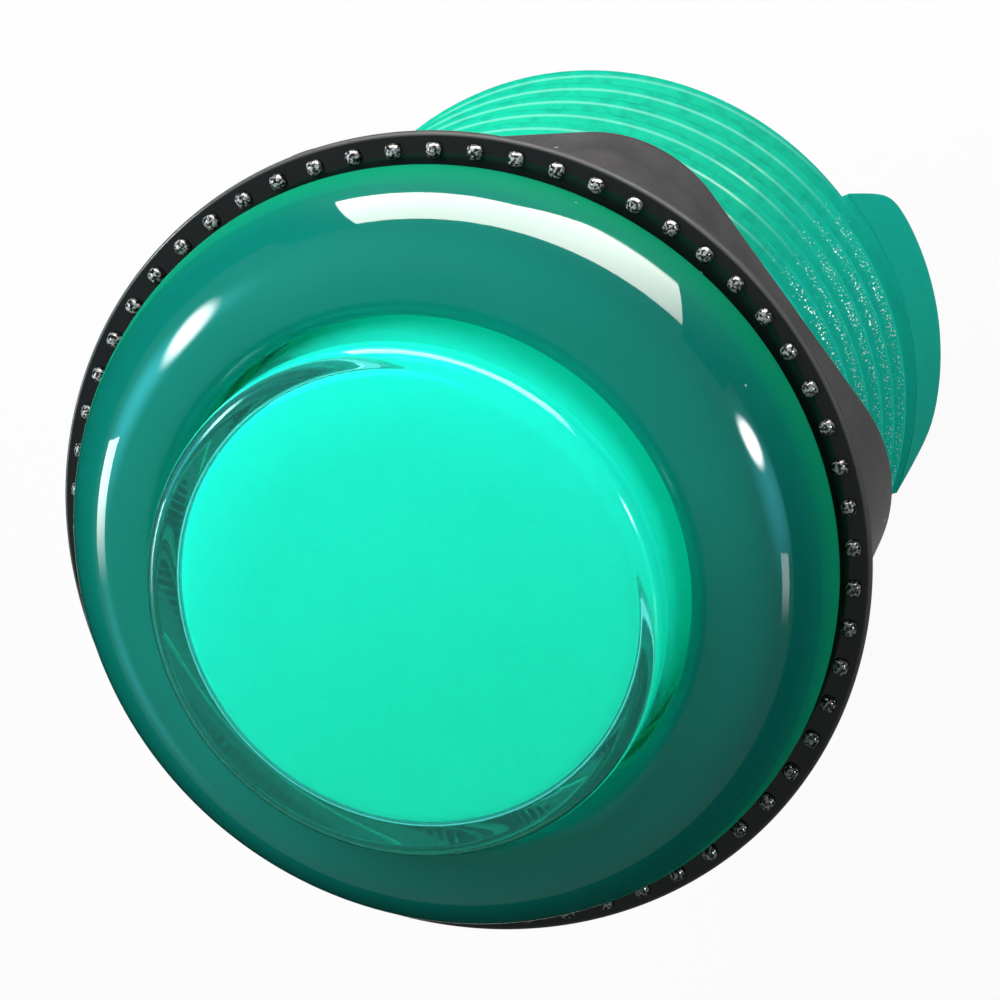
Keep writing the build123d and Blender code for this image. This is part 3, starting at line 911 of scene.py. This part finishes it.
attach(nut_moulding, "nut")
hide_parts("mounting_nut")

# Floor: a sheet of white paper under the button. It is seen as white and still takes a soft shadow;
# from below it is not seen at all.
floor_half = 1.5
floor_white = 0.94
floor_gap = 0.2 * mm
floor_z = cad_box[0].z - floor_gap
floor_mesh = bmesh.new()
bmesh.ops.create_grid(floor_mesh, x_segments=8, y_segments=8, size=floor_half)
for vert in floor_mesh.verts:
    vert.co.z = floor_z
floor = make_piece("paper_floor", floor_mesh)
if floor.data.polygons[0].normal.z < 0:
    floor.data.flip_normals()
paper, surface, place = new_finish("white_paper")
fibre_tone = speckle(place, 2 * mm)
sheet = surface.node(
    "BsdfPrincipled",
    inputs={
        "Base Color": fibre_tone.between((0.90, 0.90, 0.90, 1), (0.93, 0.93, 0.93, 1)),
        "Roughness": 0.9,
        "Specular IOR Level": 0.0,
    },
)
white = surface.node("Emission", inputs={"Color": (1, 1, 1, 1), "Strength": 1.0})
seen = surface.node("LightPath", output="Is Camera Ray")
seen = seen + surface.node("LightPath", output="Is Glossy Ray")
seen = seen + surface.node("LightPath", output="Is Transmission Ray")
shown_white = surface.node("MixShader", inputs={0: floor_white * (seen > 0.5), 1: sheet, 2: white})
clear = surface.node("BsdfTransparent")
below = surface.node("NewGeometry", output="Backfacing")
surface.feed(surface.node("MixShader", inputs={0: below, 1: shown_white, 2: clear}))
floor.data.materials.append(paper)

# Studio: a plain grey room, a soft key with its fill and bounce that light the button, and the soft boxes
# and strips that only draw the highlights.
world = bpy.data.worlds.new("grey_room")
world.use_nodes = True
room = world.node_tree.nodes["Background"]
room.inputs["Color"].default_value = (0.97, 0.985, 1.0, 1)
room.inputs["Strength"].default_value = 0.2
bpy.context.scene.world = world


def soft_box(
    name,
    azimuth,
    elevation,
    distance,
    size,
    radiance,
    tint=(1, 1, 1),
    roll=0,
    oval=False,
    fade=None,
    gloss=True,
):
    """A lamp that far from the button, turned to it. An oval dies to its edge, a fade along its width."""
    lamp = bpy.data.lights.new(name, "AREA")
    lamp.shape = "ELLIPSE" if oval else "RECTANGLE"
    lamp.size, lamp.size_y = size
    lamp.color = tint
    lamp.energy = radiance * pi * size[0] * size[1] * (pi / 4 if oval else 1)
    lamp.use_nodes = True
    strength = Shade(lamp.node_tree.nodes["Emission"].inputs["Strength"])
    if oval:
        spot = strength.node("NewGeometry", output="Parametric")
        strength.feed(spot.apart((0.5, 0.5, 0)).rise(0.5, 0.0))
    elif fade:
        spot = strength.node("NewGeometry", output="Parametric")
        wide = strength.node("SeparateXYZ", inputs={"Vector": spot}, output="X")
        strength.feed(wide.rise(*fade))
    holder = bpy.data.objects.new(name, lamp)
    a, e = radians(azimuth), radians(elevation)
    outward = Vector((cos(a) * cos(e), sin(a) * cos(e), sin(e)))
    holder.location = outward * distance
    turn = outward.to_track_quat("Z", "Y") @ Matrix.Rotation(radians(roll), 3, "Z").to_quaternion()
    holder.rotation_euler = turn.to_euler()
    holder.visible_camera = False
    holder.visible_diffuse = not gloss
    holder.visible_transmission = not gloss
    holder.visible_glossy = gloss
    bpy.context.scene.collection.objects.link(holder)


cyan = (0.1, 0.75, 1.0)
warm = (1.0, 0.92, 0.87)
soft_box("key_light", 118, 42, 0.14, (0.11, 0.11), 6.0, gloss=False)
soft_box("fill_light", 340, 45, 0.7, (0.6, 0.6), 0.18, gloss=False)
soft_box("bounce_light", 45, -8, 0.13, (0.2, 0.05), 1.7, gloss=False)
soft_box("window_light", 74, -16.3, 0.0627, (0.104, 0.058), 17.0, warm, roll=6.2, fade=(-0.35, 0.45))
soft_box("left_box", 153, 26, 0.5, (0.14, 0.25), 46.0, roll=-27, oval=True)
soft_box("left_glow", 163, 23, 0.5, (0.55, 0.32), 6.0, tint=cyan, roll=-27, oval=True)
soft_box("left_strip", 184, 12, 0.5, (0.18, 0.11), 14.0, fade=(1.0, 0.3))
soft_box("left_tail", 203, 14, 0.5, (0.4, 0.2), 1.6, tint=cyan, oval=True)
soft_box("right_box", 7, 13, 0.5, (0.13, 0.16), 68.0, oval=True)
soft_box("right_glow", -4, 12, 0.5, (0.45, 0.32), 3.5, tint=cyan, oval=True)
soft_box("right_strip", -26, 10, 0.5, (0.14, 0.07), 4.0, fade=(0.0, 0.7))

# Flag: a black card bent into a cone round the button and kept out of the camera's sight. The bezel's
# glossy flank mirrors it and not the white floor; a slot between two flaps lets the window light through.
flag_r = 45 * mm
flag_slope = 0.23
flag_lean = radians(0.305) / mm
flag_card = 0.5 * mm
flag_low = -35 * mm
flag_high = 4 * mm
flap_high = 11 * mm
flap_w = 14
slot_middle = 73.35
slot_half = 34.85
slot_foot = -9.2 * mm
slot_drop = 12.0 * mm
flag_steps = 720
flag_mesh = bmesh.new()
flag_columns = []
for degrees in steps(0, 360, flag_steps):
    off = abs((degrees - slot_middle + 180) % 360 - 180)
    top = flap_high if off < slot_half + flap_w else flag_high
    if off < slot_half:
        top = slot_foot - slot_drop * max(0, slot_middle - degrees) / slot_half
    column = []
    for out, z in ((0, flag_low), (flag_card, flag_low), (flag_card, top), (0, top)):
        column.append(around(radians(degrees) - flag_lean * z, flag_r + flag_slope * z + out, z))
    flag_columns.append(column)
add_skin(flag_mesh, flag_columns)
flag = make_piece("black_flag", flag_mesh)
black_card, surface, place = new_finish("black_card")
pulp = speckle(place, 0.5 * mm)
surface.feed(
    surface.node(
        "BsdfPrincipled",
        inputs={
            "Base Color": pulp.between((0.004, 0.004, 0.004, 1), (0.008, 0.008, 0.008, 1)),
            "Roughness": 0.9,
            "Specular IOR Level": 0.0,
        },
    )
)
flag.data.materials.append(black_card)
flag.visible_camera = False
flag.visible_diffuse = False
flag.visible_transmission = False
flag.visible_shadow = False

# Camera: a long lens above the button, tipped off its axis and rolled so that the plunger faces the
# lower left.
tilt = radians(24.3)
heading = radians(41)
roll = radians(48.3)
camera_at = Vector((101.22, 87.81, 290.60)) * mm
towards = around(heading, 1, 0)
aside = around(heading + pi / 2, 1, 0)
right = cos(tilt) * cos(roll) * towards - sin(roll) * aside - sin(tilt) * cos(roll) * upward
up = cos(tilt) * sin(roll) * towards + cos(roll) * aside - sin(tilt) * sin(roll) * upward
back = sin(tilt) * towards + cos(tilt) * upward
lens_data = bpy.data.cameras.new("long_lens")
lens_data.lens = 275.2
lens_data.sensor_width = 36
lens_data.clip_start = 0.01
camera = bpy.data.objects.new("camera", lens_data)
camera.matrix_world = Matrix.Translation(camera_at) @ Matrix((right, up, back)).transposed().to_4x4()
bpy.context.scene.collection.objects.link(camera)
bpy.context.scene.camera = camera
bpy.context.scene.view_settings.view_transform = "Standard"
